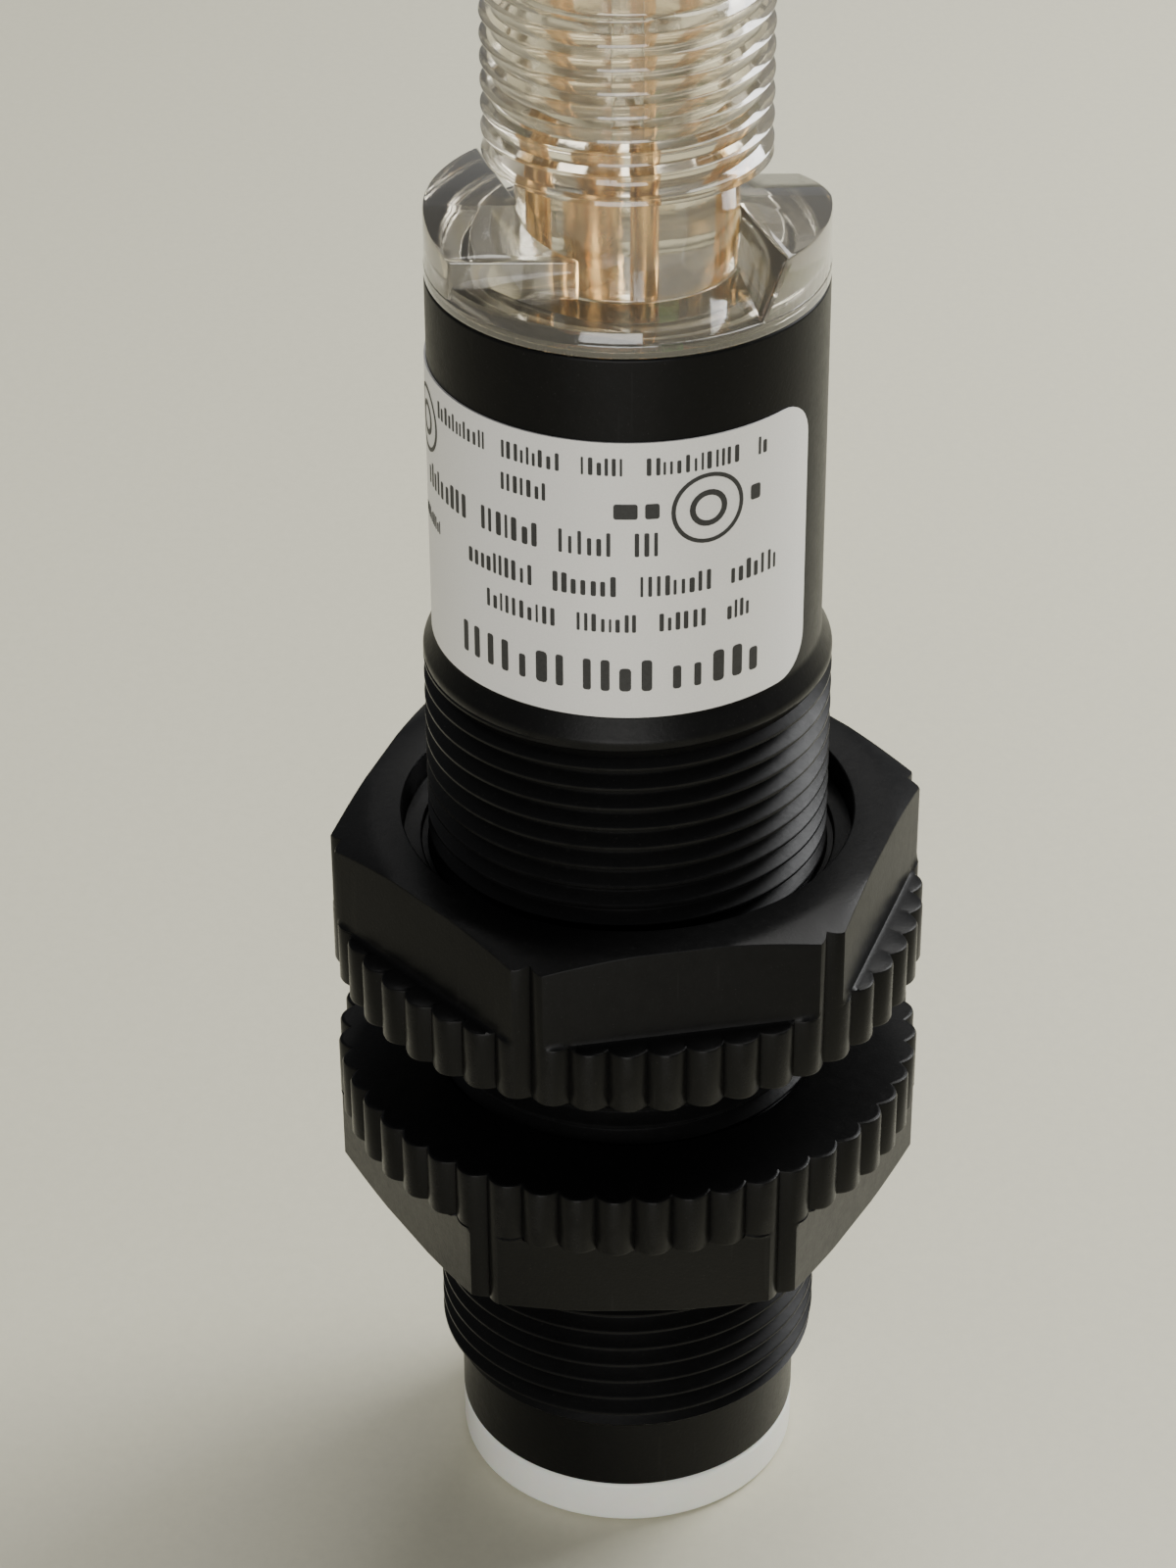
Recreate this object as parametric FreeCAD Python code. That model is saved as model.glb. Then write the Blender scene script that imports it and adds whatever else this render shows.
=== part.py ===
import FreeCAD, Part
import math
import os

# Cylindrical polarised reflex photoelectric sensor on an M18 x 1 threaded barrel,
# with a clear end cap that carries an M12 x 1 plug connector, and two mounting nuts.
# Millimetres.  +Z runs from the sensing face (z = 0) to the connector's tip.
# -Y is the side with the middle of the label.

V = FreeCAD.Vector
Z_AXIS = V(0, 0, 1)
ORIGIN = V(0, 0, 0)

# ---- driving dimensions: barrel -------------------------------------------------
thread_r = 9.0               # M18 x 1, outside of the crests
thread_pitch = 1.0
thread_len = 38.3
crest_flat = 0.125           # flat on top of each crest, as a share of the pitch
root_flat = 0.167            # flat at the bottom of each groove, as a share of the pitch
front_step = 0.9             # how far the plain front end stands below the crests
upper_step = 0.5             # how far the plain upper end stands below the crests
front_len = 4.0
runout_len = 1.2
upper_len = 16.8
barrel_wall = 1.1            # wall of the plain upper end
barrel_edge = 0.25           # chamfer on the thread's first crest

# ---- driving dimensions: front lens and optics ----------------------------------
lens_rim_h = 2.4
lens_edge_r = 0.5            # rounding of the sensing face's edge
lens_spigot_h = 2.6
lens_dome_h = 1.15           # how far each lens bulges
dome_gap = 0.15              # from each lens to its polariser
optics_wall = 0.6            # of the holder, outside its two filter pockets
baffle_wall = 0.9            # between the two pockets
filter_ledge = 0.5           # seat of each polariser round its light channel
dome_inset = 0.1             # each lens is this much smaller than its polariser
polariser_h = 0.2
holder_h = 12.4
holder_rim_h = 2.0
holder_rim_wall = 1.3

# ---- driving dimensions: electronics --------------------------------------------
optics_board_h = 0.8
board_thick = 0.8
board_edge_gap = 0.5         # between the main board's edges and the walls round it
part_edge_gap = 1.5          # from the main board's edge to the nearest component
led_r = 1.5
led_flange_r = 1.8
led_flange_h = 1.0
led_body_h = 3.2
diode_size = (3.2, 4.0, 1.6)
diode_lens_r = 1.1
header_size = (1.8, 8.0, 2.0)
header_pin = 0.5
header_pin_count = 4
header_pitch = 1.8
indicator_size = (0.8, 1.6, 0.9)
indicator_y = 0.95
indicator_setback = 0.5      # from the main board's upper end

# Each component's size is (thick, wide, high), and its place is its foot's height on the board.
shield_can_size = (2.6, 9.0, 9.0)
shield_can_wall = 0.3
shield_can_up = 1.0
signal_ic_size = (1.5, 5.0, 5.0)
signal_ic_up = 9.0
driver_ic_size = (1.5, 4.0, 5.0)
driver_ic_up = 20.0
transistor_size = (1.2, 3.0, 3.4)
transistor_up = 26.0
transistor_y = 3.0
protection_diode_size = (1.2, 4.3, 2.6)
protection_diode_up = 32.0
capacitor_size = (1.1, 1.6, 3.2)
capacitor_left_up = 18.0
capacitor_right_up = 14.0
resistor_size = (0.5, 0.8, 1.6)
resistor_count = 8
resistors_in_row = 4
resistor_spacing = 2.2
resistor_row_step = 3.0
resistor_up = 28.0

# ---- driving dimensions: end cap and connector ----------------------------------
cap_rim_h = 0.65
cap_spigot_h = 2.6
cap_wall = 1.0               # wall of the spigot inside the barrel
cap_floor_h = 0.4            # cavity's height above the barrel's end
ledge_h = 0.5
ledge_from_deg = -72.0       # from -Y towards +X
ledge_to_deg = 8.0
ledge_arc_r = 14.85          # of the ledge's inner edge, flatter than the rim
ledge_arc_x = 5.2
ledge_arc_y = 5.9
lug_h = 2.4
lug_front_deg = 49.0         # where the tall lug's front wall meets the rim at the top
lug_front_y = -0.4           # and where it meets the neck
lug_foot_deg = 39.0          # the same at the foot, which stands further forward
lug_foot_y = -1.5
lug_foot_inset = 0.2
lug_back_y = 4.3
lug_chamfer_y = 0.5
lug_chamfer_drop = 0.7
neck_r = 4.7
neck_len = 5.5
conn_r = 6.0                 # M12 x 1, outside of the crests
conn_pitch = 1.0
conn_thread_len = 7.6
nose_r = 5.3
nose_len = 2.3
socket_r = 4.3
socket_depth = 8.0
contact_r = 0.5
contact_circle_r = 2.8
contact_setback = 1.0        # from the connector's rim down to the contact tips
contact_tail = 1.4           # how far each contact reaches into the cavity
contact_count = 4
contact_turn_deg = 12.0      # of the first contact, from -Y towards +X
key_w = 1.2
key_h = 0.5
lead_r = 0.25
lead_bend_r = 0.4
lead_drop = 2.2

# ---- driving dimensions: seals --------------------------------------------------
seal_r = 0.4                 # section radius of both O-rings
seal_groove_h = 1.0

# ---- driving dimensions: label --------------------------------------------------
label_top_margin = 3.7       # plain barrel above the label
label_thick = 0.08
label_from_deg = -125.0      # from -Y towards +X
label_to_deg = 60.5
label_corner_r = 1.8
label_above_runout = 0.1

# ---- driving dimensions: mounting nuts ------------------------------------------
nut_wall = 3.0               # from the thread's crests to each flat
nut_tooth_reach = 4.5        # from the thread's crests to the teeth's crests
nut_flange_h = 3.05
nut_hex_h = 4.35
nut_teeth = 48
tooth_depth = 0.45
nut_recess_r_add = 1.2       # recess round the barrel at the nut's hexagon end
nut_recess_h = 1.45
nut_top_r_drop = 1.35         # how far the end chamfer brings the corners in
nut_top_chamfer_h = 0.5
upper_nut_z = 28.85          # lower face of the upper nut's flange
lower_nut_z = 23.9           # upper face of the lower nut's flange
upper_nut_turn_deg = 11.2
lower_nut_turn_deg = 1.2

# ---- clearances -----------------------------------------------------------------
spigot_gap = 0.03            # spigots and boards in the barrel's bore
seal_gap = 0.02
screw_gap = 0.06             # nut thread over the barrel's crests
ring_gap = 0.02              # nut thread ring in its nut
contact_gap = 0.02
stack_gap = 0.05             # between stacked pieces along the barrel
label_gap = 0.01
pin_hole_gap = 0.03

# ---- heights and radii that follow ----------------------------------------------
thread_shape = (1.0 - crest_flat - root_flat) / 2 * math.sqrt(3)      # depth as a share of the pitch
thread_depth = thread_shape * thread_pitch
conn_thread_depth = thread_shape * conn_pitch
front_r = thread_r - front_step
upper_r = thread_r - upper_step
bore_r = upper_r - barrel_wall
spigot_r = bore_r - spigot_gap

pocket_r = (spigot_r - optics_wall - baffle_wall / 2) / 2
optic_spacing = 2 * pocket_r + baffle_wall       # between the emitter's axis and the receiver's
polariser_r = pocket_r - spigot_gap
light_channel_r = polariser_r - filter_ledge
lens_aperture_r = polariser_r - dome_inset

thread_z = lens_rim_h + front_len
thread_end_z = thread_z + thread_len
runout_end_z = thread_end_z + runout_len
barrel_end_z = runout_end_z + upper_len
label_h = upper_len - label_above_runout - label_top_margin

lens_back_z = lens_rim_h + lens_spigot_h
filter_pocket_h = lens_dome_h + dome_gap + polariser_h
lens_dome_r = (lens_aperture_r ** 2 + lens_dome_h ** 2) / (2 * lens_dome_h)
holder_z = lens_back_z + stack_gap
holder_end_z = holder_z + holder_h
optics_board_z = holder_end_z
main_board_z = optics_board_z + optics_board_h + stack_gap
cap_foot_z = barrel_end_z - cap_spigot_h
main_board_end_z = cap_foot_z - stack_gap
cavity_top_z = barrel_end_z + cap_floor_h
tongue_end_z = cavity_top_z - stack_gap
cavity_r = spigot_r - cap_wall

cap_deck_z = barrel_end_z + cap_rim_h
cap_root_z = (cavity_top_z + cap_deck_z) / 2     # where lugs and ledges root in the deck
neck_end_z = barrel_end_z + neck_len
conn_thread_end_z = neck_end_z + conn_thread_len
tip_z = conn_thread_end_z + nose_len
socket_floor_z = tip_z - socket_depth
contact_tip_z = tip_z - contact_setback
contact_tail_z = cavity_top_z - contact_tail

contact_turn = math.radians(contact_turn_deg)
board_x = contact_circle_r * (math.cos(contact_turn) + math.sin(contact_turn)) / 2      # between contacts
board_left_x = board_x - board_thick / 2
board_right_x = board_x + board_thick / 2
board_half_w = math.sqrt((spigot_r - board_edge_gap) ** 2 - board_right_x ** 2)
tongue_half_w = math.sqrt((cavity_r - board_edge_gap) ** 2 - board_right_x ** 2)

nut_h = nut_flange_h + nut_hex_h
nut_flat_r = thread_r + nut_wall
nut_tooth_r = thread_r + nut_tooth_reach
nut_recess_r = thread_r + nut_recess_r_add
nut_top_r = nut_tooth_r - nut_top_r_drop


# ---- helpers --------------------------------------------------------------------
def lathe(points):
    """Solid of revolution about Z from (radius, height) points."""
    wire = Part.makePolygon([V(r, 0, z) for r, z in points + points[:1]])
    return Part.Face(wire).revolve(ORIGIN, Z_AXIS, 360)


def rod(radius, z0, z1, x=0.0, y=0.0):
    return Part.makeCylinder(radius, z1 - z0, V(x, y, z0))


def block(x0, x1, y0, y1, z0, z1):
    return Part.makeBox(x1 - x0, y1 - y0, z1 - z0, V(x0, y0, z0))


def fused(shapes):
    """One clean solid from overlapping shapes."""
    whole = shapes[0].fuse(shapes[1:]) if len(shapes) > 1 else shapes[0]
    return whole.removeSplitter()


def turned(shape, angle_deg):
    """Copy of a shape, turned about Z by the right-hand rule."""
    copy = shape.copy()
    copy.rotate(ORIGIN, Z_AXIS, angle_deg)
    return copy


def at_bearing(radius, bearing_deg, z=0.0):
    """Point at a bearing counted from -Y towards +X."""
    a = math.radians(bearing_deg)
    return V(radius * math.sin(a), -radius * math.cos(a), z)


def thread_points(major_r, pitch, z0, z1, depth):
    """Outline of annular thread grooves between two heights, from bottom to top."""
    turns = max(1, int(round((z1 - z0) / pitch)))
    step = (z1 - z0) / turns
    points = []
    for turn in range(turns):
        z = z0 + turn * step
        flank = (1 - crest_flat - root_flat) / 2 * step
        crest_end = z + crest_flat * step
        points += [(major_r, z), (major_r, crest_end), (major_r - depth, crest_end + flank),
                   (major_r - depth, z + step - flank)]
    return points + [(major_r, z1)]


def save(name, shape):
    shape.exportStep("parts/%s.step" % name)


# ---- barrel ---------------------------------------------------------------------
def make_barrel():
    outline = [(bore_r, lens_rim_h), (front_r, lens_rim_h), (front_r, thread_z - barrel_edge)]
    outline += thread_points(thread_r, thread_pitch, thread_z, thread_end_z, thread_depth)
    outline += [(upper_r, runout_end_z), (upper_r, barrel_end_z), (bore_r, barrel_end_z)]
    return lathe(outline)


# ---- front lens, seal and optics ------------------------------------------------
def seal_groove_r():
    return bore_r - seal_gap - 2 * seal_r - seal_gap


def grooved_spigot(z0, z1):
    """Outline of a spigot in the barrel with one O-ring groove at mid height."""
    mid = (z0 + z1) / 2
    lo, hi = mid - seal_groove_h / 2, mid + seal_groove_h / 2
    return [(spigot_r, z0), (spigot_r, lo), (seal_groove_r(), lo), (seal_groove_r(), hi),
            (spigot_r, hi), (spigot_r, z1)]


def make_front_lens():
    body = lathe([(0, 0), (front_r, 0), (front_r, lens_rim_h)]
                 + grooved_spigot(lens_rim_h, lens_back_z) + [(0, lens_back_z)])
    face_edge = [e for e in body.Edges
                 if e.BoundBox.ZMax < 1e-6 and e.Curve.TypeId == "Part::GeomCircle"]
    body = body.makeFillet(lens_edge_r, face_edge)
    domes = []
    for side in (-1, 1):
        centre = V(side * optic_spacing / 2, 0, lens_back_z + lens_dome_h - lens_dome_r)
        ball = Part.makeSphere(lens_dome_r, centre)
        domes.append(ball.common(rod(lens_aperture_r, lens_back_z - lens_edge_r,
                                     lens_back_z + lens_dome_h, centre.x)))
    return fused([body] + domes)


def make_seal(z0, z1):
    return Part.makeTorus(bore_r - seal_gap - seal_r, seal_r, V(0, 0, (z0 + z1) / 2))


def make_polariser(side):
    top = holder_z + filter_pocket_h
    return rod(polariser_r, top - polariser_h, top, side * optic_spacing / 2)


def make_optics_holder():
    body = rod(spigot_r, holder_z, holder_end_z)
    cuts = [rod(spigot_r - holder_rim_wall, holder_end_z - holder_rim_h, holder_end_z)]
    for side in (-1, 1):
        x = side * optic_spacing / 2
        cuts.append(rod(pocket_r, holder_z, holder_z + filter_pocket_h, x))
        cuts.append(rod(light_channel_r, holder_z, holder_end_z, x))
    return body.cut(Part.makeCompound(cuts)).removeSplitter()


def make_emitter_led():
    x = -optic_spacing / 2
    z = optics_board_z
    neck = z - led_flange_h - led_body_h
    return fused([rod(led_flange_r, z - led_flange_h, z, x), rod(led_r, neck, z - led_flange_h, x),
                  Part.makeSphere(led_r, V(x, 0, neck))])


def make_receiver_photodiode():
    x = optic_spacing / 2
    dx, dy, dz = diode_size
    z = optics_board_z
    body = block(x - dx / 2, x + dx / 2, -dy / 2, dy / 2, z - dz, z)
    return fused([body, Part.makeSphere(diode_lens_r, V(x, 0, z - dz))])


# ---- electronics ----------------------------------------------------------------
def header_x():
    """Middle of the header, which stands against the main board's left side."""
    return board_left_x - header_size[0] / 2


def header_pin_boxes(half, z0, z1):
    boxes = []
    for i in range(header_pin_count):
        y = (i - (header_pin_count - 1) / 2) * header_pitch
        boxes.append(block(header_x() - half, header_x() + half, y - half, y + half, z0, z1))
    return boxes


def header_pin_span():
    low = optics_board_z
    return low, main_board_z + header_size[2] + header_pin * 2


def make_optics_board():
    board = rod(spigot_r, optics_board_z, optics_board_z + optics_board_h)
    low, high = header_pin_span()
    return board.cut(Part.makeCompound(header_pin_boxes(header_pin / 2 + pin_hole_gap, low, high)))


def make_board_header():
    dx, dy, dz = header_size
    body = block(header_x() - dx / 2, header_x() + dx / 2, -dy / 2, dy / 2,
                 main_board_z - stack_gap, main_board_z - stack_gap + dz)
    low, high = header_pin_span()
    return body.cut(Part.makeCompound(header_pin_boxes(header_pin / 2 + pin_hole_gap, low, high)))


def make_header_pins():
    low, high = header_pin_span()
    return Part.makeCompound(header_pin_boxes(header_pin / 2, low, high))


def make_main_board():
    wide = block(board_left_x, board_right_x, -board_half_w, board_half_w,
                 main_board_z, main_board_end_z)
    tongue = block(board_left_x, board_right_x, -tongue_half_w, tongue_half_w,
                   main_board_end_z, tongue_end_z)
    return fused([wide, tongue])


def on_board(side, y, z_up, size):
    """Block on one side of the main board: -1 left, 1 right.  size is (thick, wide, high)."""
    thick, wide, high = size
    z = main_board_z + z_up
    x0 = board_left_x - thick if side < 0 else board_right_x
    return block(x0, x0 + thick, y - wide / 2, y + wide / 2, z, z + high)


def make_shield_can():
    """Shield over the receiver's amplifier, open towards the board."""
    wall = shield_can_wall
    thick, wide, high = shield_can_size
    can = on_board(1, 0, shield_can_up, shield_can_size)
    return can.cut(on_board(1, 0, shield_can_up + wall, (thick - wall, wide - 2 * wall, high - 2 * wall)))


def make_signal_ic():
    return on_board(-1, 0, signal_ic_up, signal_ic_size)


def make_output_driver_ic():
    return on_board(1, 0, driver_ic_up, driver_ic_size)


def make_output_transistors():
    return Part.makeCompound([on_board(-1, y, transistor_up, transistor_size)
                              for y in (-transistor_y, transistor_y)])


def make_protection_diode():
    return on_board(-1, 0, protection_diode_up, protection_diode_size)


def make_capacitors():
    y = board_half_w - part_edge_gap - capacitor_size[1] / 2
    rows = ((-1, capacitor_left_up), (1, capacitor_right_up))
    return Part.makeCompound([on_board(side, way * y, up, capacitor_size)
                              for side, up in rows for way in (-1, 1)])


def make_resistors():
    blocks = []
    for i in range(resistor_count):
        row, column = divmod(i, resistors_in_row)
        y = (column - (resistors_in_row - 1) / 2) * resistor_spacing
        blocks.append(on_board(1, y, resistor_up + row * resistor_row_step, resistor_size))
    return Part.makeCompound(blocks)


def make_indicator_led(y):
    """Small light on the tongue, inside the clear cap, facing left."""
    z_up = tongue_end_z - main_board_z - indicator_setback - indicator_size[2]
    return on_board(-1, y, z_up, indicator_size)


# ---- end cap --------------------------------------------------------------------
def lug_outline(z, rim_deg, inner_point):
    """Plan of the right-hand tall lug at one height, wider than the rim that trims it."""
    rim = at_bearing(upper_r, rim_deg, z)
    inner = V(inner_point[0], inner_point[1], z)
    outer = inner + (rim - inner) * 2
    far = upper_r * 2
    points = [inner, outer, V(far, outer.y, z), V(far, lug_back_y, z), V(0, lug_back_y, z),
              V(0, inner.y, z)]
    return Part.makePolygon(points + points[:1])


def make_lug():
    """Tall lug with a leaning front wall and a chamfer along its back edge."""
    top = cap_deck_z + lug_h
    foot = lug_outline(cap_root_z, lug_foot_deg, (neck_r - lug_foot_inset, lug_foot_y))
    head = lug_outline(top, lug_front_deg, (neck_r, lug_front_y))
    lug = Part.makeLoft([foot, head], True, True).common(rod(upper_r, cap_root_z, top))
    slope = [V(0, lug_chamfer_y, top), V(0, lug_back_y, top - lug_chamfer_drop),
             V(0, lug_back_y, top), V(0, lug_chamfer_y, top)]
    chamfer = Part.Face(Part.makePolygon(slope)).extrude(V(upper_r, 0, 0))
    return lug.cut(chamfer)


def make_ledge():
    """Low crescent along the rim in front of the left lug, narrowing to a tip."""
    low, high = cap_root_z, cap_deck_z + ledge_h
    start, far = at_bearing(upper_r, ledge_from_deg, low), 2 * upper_r
    end = at_bearing(upper_r, ledge_to_deg, low)
    sector = Part.makePolygon([V(0, 0, low), start * 2 - V(0, 0, low), V(start.x * 2, -far, low),
                               V(end.x * 2, -far, low), end * 2 - V(0, 0, low), V(0, 0, low)])
    crescent = rod(upper_r, low, high).cut(rod(ledge_arc_r, low, high, ledge_arc_x, ledge_arc_y))
    return crescent.common(Part.Face(sector).extrude(V(0, 0, high - low)))


def make_end_cap():
    outline = [(0, cavity_top_z), (cavity_r, cavity_top_z), (cavity_r, cap_foot_z)]
    outline += grooved_spigot(cap_foot_z, barrel_end_z)
    outline += [(upper_r, barrel_end_z), (upper_r, cap_deck_z), (neck_r, cap_deck_z),
                (neck_r, neck_end_z)]
    outline += thread_points(conn_r, conn_pitch, neck_end_z + conn_pitch / 2,
                             conn_thread_end_z - conn_pitch / 2, conn_thread_depth)
    outline += [(nose_r, conn_thread_end_z), (nose_r, tip_z), (socket_r, tip_z),
                (socket_r, socket_floor_z), (0, socket_floor_z)]
    pieces = [lathe(outline)]
    for half_turn in (0, 180):
        pieces += [turned(make_lug(), half_turn), turned(make_ledge(), half_turn)]
    pieces.append(block(-key_w / 2, key_w / 2, -socket_r - key_h / 2, -socket_r + key_h,
                        socket_floor_z - key_h, tip_z - contact_setback))
    cap = fused(pieces)
    holes = [rod(contact_r + contact_gap, contact_tail_z, tip_z, x, y) for x, y in contact_places()]
    return cap.cut(Part.makeCompound(holes))


# ---- contacts and leads ---------------------------------------------------------
def contact_places():
    points = [at_bearing(contact_circle_r, contact_turn_deg + 360.0 * i / contact_count)
              for i in range(contact_count)]
    return [(point.x, point.y) for point in points]


def make_contact(x, y):
    return fused([rod(contact_r, contact_tail_z, contact_tip_z, x, y),
                  Part.makeSphere(contact_r, V(x, y, contact_tip_z))])


def make_lead(x, y):
    """Wire from a contact's tail down and across to the main board's nearer side."""
    side = -1 if x < board_x else 1
    pad_x = board_left_x if side < 0 else board_right_x
    toward = 1 if side < 0 else -1
    top = contact_tail_z
    low = top - lead_drop
    bend = min(lead_bend_r, abs(pad_x - x) * 0.6)
    down_end = V(x, y, low + bend)
    across = V(x + toward * bend, y, low)
    middle = V(x + toward * bend * (1 - math.sqrt(0.5)), y, low + bend * (1 - math.sqrt(0.5)))
    path = Part.Wire([Part.LineSegment(V(x, y, top), down_end).toShape(),
                      Part.Arc(down_end, middle, across).toShape(),
                      Part.LineSegment(across, V(pad_x, y, low)).toShape()])
    section = Part.Wire(Part.makeCircle(lead_r, V(x, y, top), Z_AXIS))
    return path.makePipeShell([section], True, True)


def make_pin_leads():
    return Part.makeCompound([make_lead(x, y) for x, y in contact_places()])


# ---- label ----------------------------------------------------------------------
def corner_cutter(bearing_deg, side, z, up):
    """What is cut away to round one corner: side and up point from the corner inwards."""
    r = label_corner_r
    deep = 4 * label_thick
    # built at bearing 0, where X is along the edge and -Y points outwards
    x0, z0 = min(0, side * r), min(0, up * r)
    square = Part.makeBox(r, 2 * deep, r, V(x0, -upper_r - deep, z0))
    centre = V(side * r, -upper_r - deep, up * r)
    rest = square.cut(Part.makeCylinder(r, 2 * deep, centre, V(0, 1, 0)))
    rest.rotate(ORIGIN, Z_AXIS, bearing_deg)
    rest.translate(V(0, 0, z))
    return rest


def make_label():
    z0 = runout_end_z + label_above_runout
    inner, outer = upper_r + label_gap, upper_r + label_gap + label_thick
    wire = Part.makePolygon([at_bearing(r, label_from_deg, z) for r, z in
                             ((inner, z0), (outer, z0), (outer, z0 + label_h),
                              (inner, z0 + label_h), (inner, z0))])
    sheet = Part.Face(wire).revolve(ORIGIN, Z_AXIS, label_to_deg - label_from_deg)
    for bearing, side in ((label_from_deg, 1), (label_to_deg, -1)):
        for z, up in ((z0, 1), (z0 + label_h, -1)):
            sheet = sheet.cut(corner_cutter(bearing, side, z, up))
    return sheet


# ---- mounting nuts --------------------------------------------------------------
def toothed_disc(height):
    """Disc with rounded teeth all round, each tooth one arc between two grooves."""
    pitch = 360.0 / nut_teeth
    groove_r = nut_tooth_r - tooth_depth
    edges = [Part.Arc(at_bearing(groove_r, pitch * i), at_bearing(nut_tooth_r, pitch * (i + 0.5)),
                      at_bearing(groove_r, pitch * (i + 1))).toShape() for i in range(nut_teeth)]
    return Part.Face(Part.Wire(edges)).extrude(V(0, 0, height))


def hexagon(flat_r, z0, z1):
    """Hexagonal prism with one flat facing -Y."""
    corner_r = flat_r / math.cos(math.pi / 6)
    points = [at_bearing(corner_r, 30 + 60 * i, z0) for i in range(7)]
    return Part.Face(Part.makePolygon(points)).extrude(V(0, 0, z1 - z0))


def make_nut():
    """Nut standing on its toothed flange at z = 0, with the hexagon end up."""
    flange = toothed_disc(nut_flange_h)
    upper = toothed_disc(nut_h).common(hexagon(nut_flat_r, 0, nut_h))
    chamfer_z = nut_h - nut_top_chamfer_h
    end_limit = lathe([(0, 0), (2 * nut_tooth_r, 0), (2 * nut_tooth_r, chamfer_z),
                       (nut_tooth_r, chamfer_z), (nut_top_r, nut_h), (0, nut_h)])
    body = fused([flange, upper]).common(end_limit)
    return body.cut(rod(nut_recess_r, 0, nut_h))


def make_nut_thread():
    """Threaded lining of a nut, level with the flange's face."""
    lead_in = thread_depth / 2
    low, high = lead_in, nut_h - nut_recess_h
    outer, inner = nut_recess_r - ring_gap, thread_r + screw_gap
    return lathe([(inner + lead_in, 0), (outer, 0), (outer, high), (inner + lead_in, high),
                  (inner, high - lead_in), (inner, low)])


def placed_upper(shape):
    copy = turned(shape, upper_nut_turn_deg)
    copy.translate(V(0, 0, upper_nut_z))
    return copy


def placed_lower(shape):
    copy = shape.copy()
    copy.rotate(ORIGIN, V(1, 0, 0), 180)
    copy = turned(copy, lower_nut_turn_deg)
    copy.translate(V(0, 0, lower_nut_z))
    return copy


# ---- the whole sensor -----------------------------------------------------------
def build():
    os.makedirs("parts", exist_ok=True)
    save("barrel", make_barrel())
    save("front_lens", make_front_lens())
    save("lens_seal", make_seal(lens_rim_h, lens_back_z))
    save("emitter_polariser", make_polariser(-1))
    save("receiver_polariser", make_polariser(1))
    save("optics_holder", make_optics_holder())
    save("emitter_led", make_emitter_led())
    save("receiver_photodiode", make_receiver_photodiode())
    save("optics_board", make_optics_board())
    save("board_header", make_board_header())
    save("header_pins", make_header_pins())
    save("main_board", make_main_board())
    save("receiver_shield_can", make_shield_can())
    save("signal_ic", make_signal_ic())
    save("output_driver_ic", make_output_driver_ic())
    save("output_transistors", make_output_transistors())
    save("protection_diode", make_protection_diode())
    save("capacitors", make_capacitors())
    save("resistors", make_resistors())
    save("power_indicator_led", make_indicator_led(-indicator_y))
    save("output_indicator_led", make_indicator_led(indicator_y))
    save("end_cap", make_end_cap())
    save("cap_seal", make_seal(cap_foot_z, barrel_end_z))
    for i, (x, y) in enumerate(contact_places()):
        save("contact_pin_%d" % (i + 1), make_contact(x, y))
    save("pin_leads", make_pin_leads())
    save("label", make_label())
    nut, nut_thread = make_nut(), make_nut_thread()
    save("upper_nut", placed_upper(nut))
    save("upper_nut_thread", placed_upper(nut_thread))
    save("lower_nut", placed_lower(nut))
    save("lower_nut_thread", placed_lower(nut_thread))


build()
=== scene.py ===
import bmesh
import bpy
import math
import random
from mathutils import Euler, Matrix, Vector


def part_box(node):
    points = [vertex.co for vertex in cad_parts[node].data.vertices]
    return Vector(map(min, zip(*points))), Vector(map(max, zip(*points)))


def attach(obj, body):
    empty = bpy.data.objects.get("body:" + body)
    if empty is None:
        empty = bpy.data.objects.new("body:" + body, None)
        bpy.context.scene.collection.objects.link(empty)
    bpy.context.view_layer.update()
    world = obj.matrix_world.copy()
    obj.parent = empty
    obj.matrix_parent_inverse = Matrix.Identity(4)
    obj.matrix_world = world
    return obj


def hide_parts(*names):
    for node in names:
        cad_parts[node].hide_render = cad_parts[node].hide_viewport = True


# 18 mm photoelectric sensor: black threaded barrel, silver label, two flanged nuts and a
# clear end cap with a plug connector.  Metres, +Z from the sensing face to the plug's tip.

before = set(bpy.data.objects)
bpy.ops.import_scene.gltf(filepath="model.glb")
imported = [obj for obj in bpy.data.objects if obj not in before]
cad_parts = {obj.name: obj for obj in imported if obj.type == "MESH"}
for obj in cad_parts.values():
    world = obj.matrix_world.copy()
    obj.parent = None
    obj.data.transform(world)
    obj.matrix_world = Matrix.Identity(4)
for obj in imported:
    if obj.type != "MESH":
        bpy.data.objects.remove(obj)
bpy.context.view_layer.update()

MM = 0.001
FULL_TURN = 2 * math.pi
BODY = "sensor"

# ---- sizes read from the frame ---------------------------------------------------
barrel_low, barrel_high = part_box("barrel")
lens_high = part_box("front_lens")[1]
label_low, label_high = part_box("label")
cap_low, cap_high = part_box("end_cap")
upper_nut_low, upper_nut_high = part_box("upper_nut")
lower_nut_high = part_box("lower_nut")[1]

# ---- sizes of the visible shapes ---------------------------------------------------
BARREL_AROUND = 144          # segments round the barrel and the cap
NUT_AROUND = 480             # segments round each nut, ten to a tooth
PITCH = 1.0 * MM

CREST_R = barrel_high.x
ROOT_R = CREST_R - 0.613 * MM
FRONT_R = CREST_R - 0.9 * MM
UPPER_R = CREST_R - 0.5 * MM
BORE_R = UPPER_R - 1.1 * MM
THREAD_LOW = barrel_low.z + 4.0 * MM
THREAD_HIGH = THREAD_LOW + 38.3 * MM
RUNOUT_HIGH = THREAD_HIGH + 1.2 * MM

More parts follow.
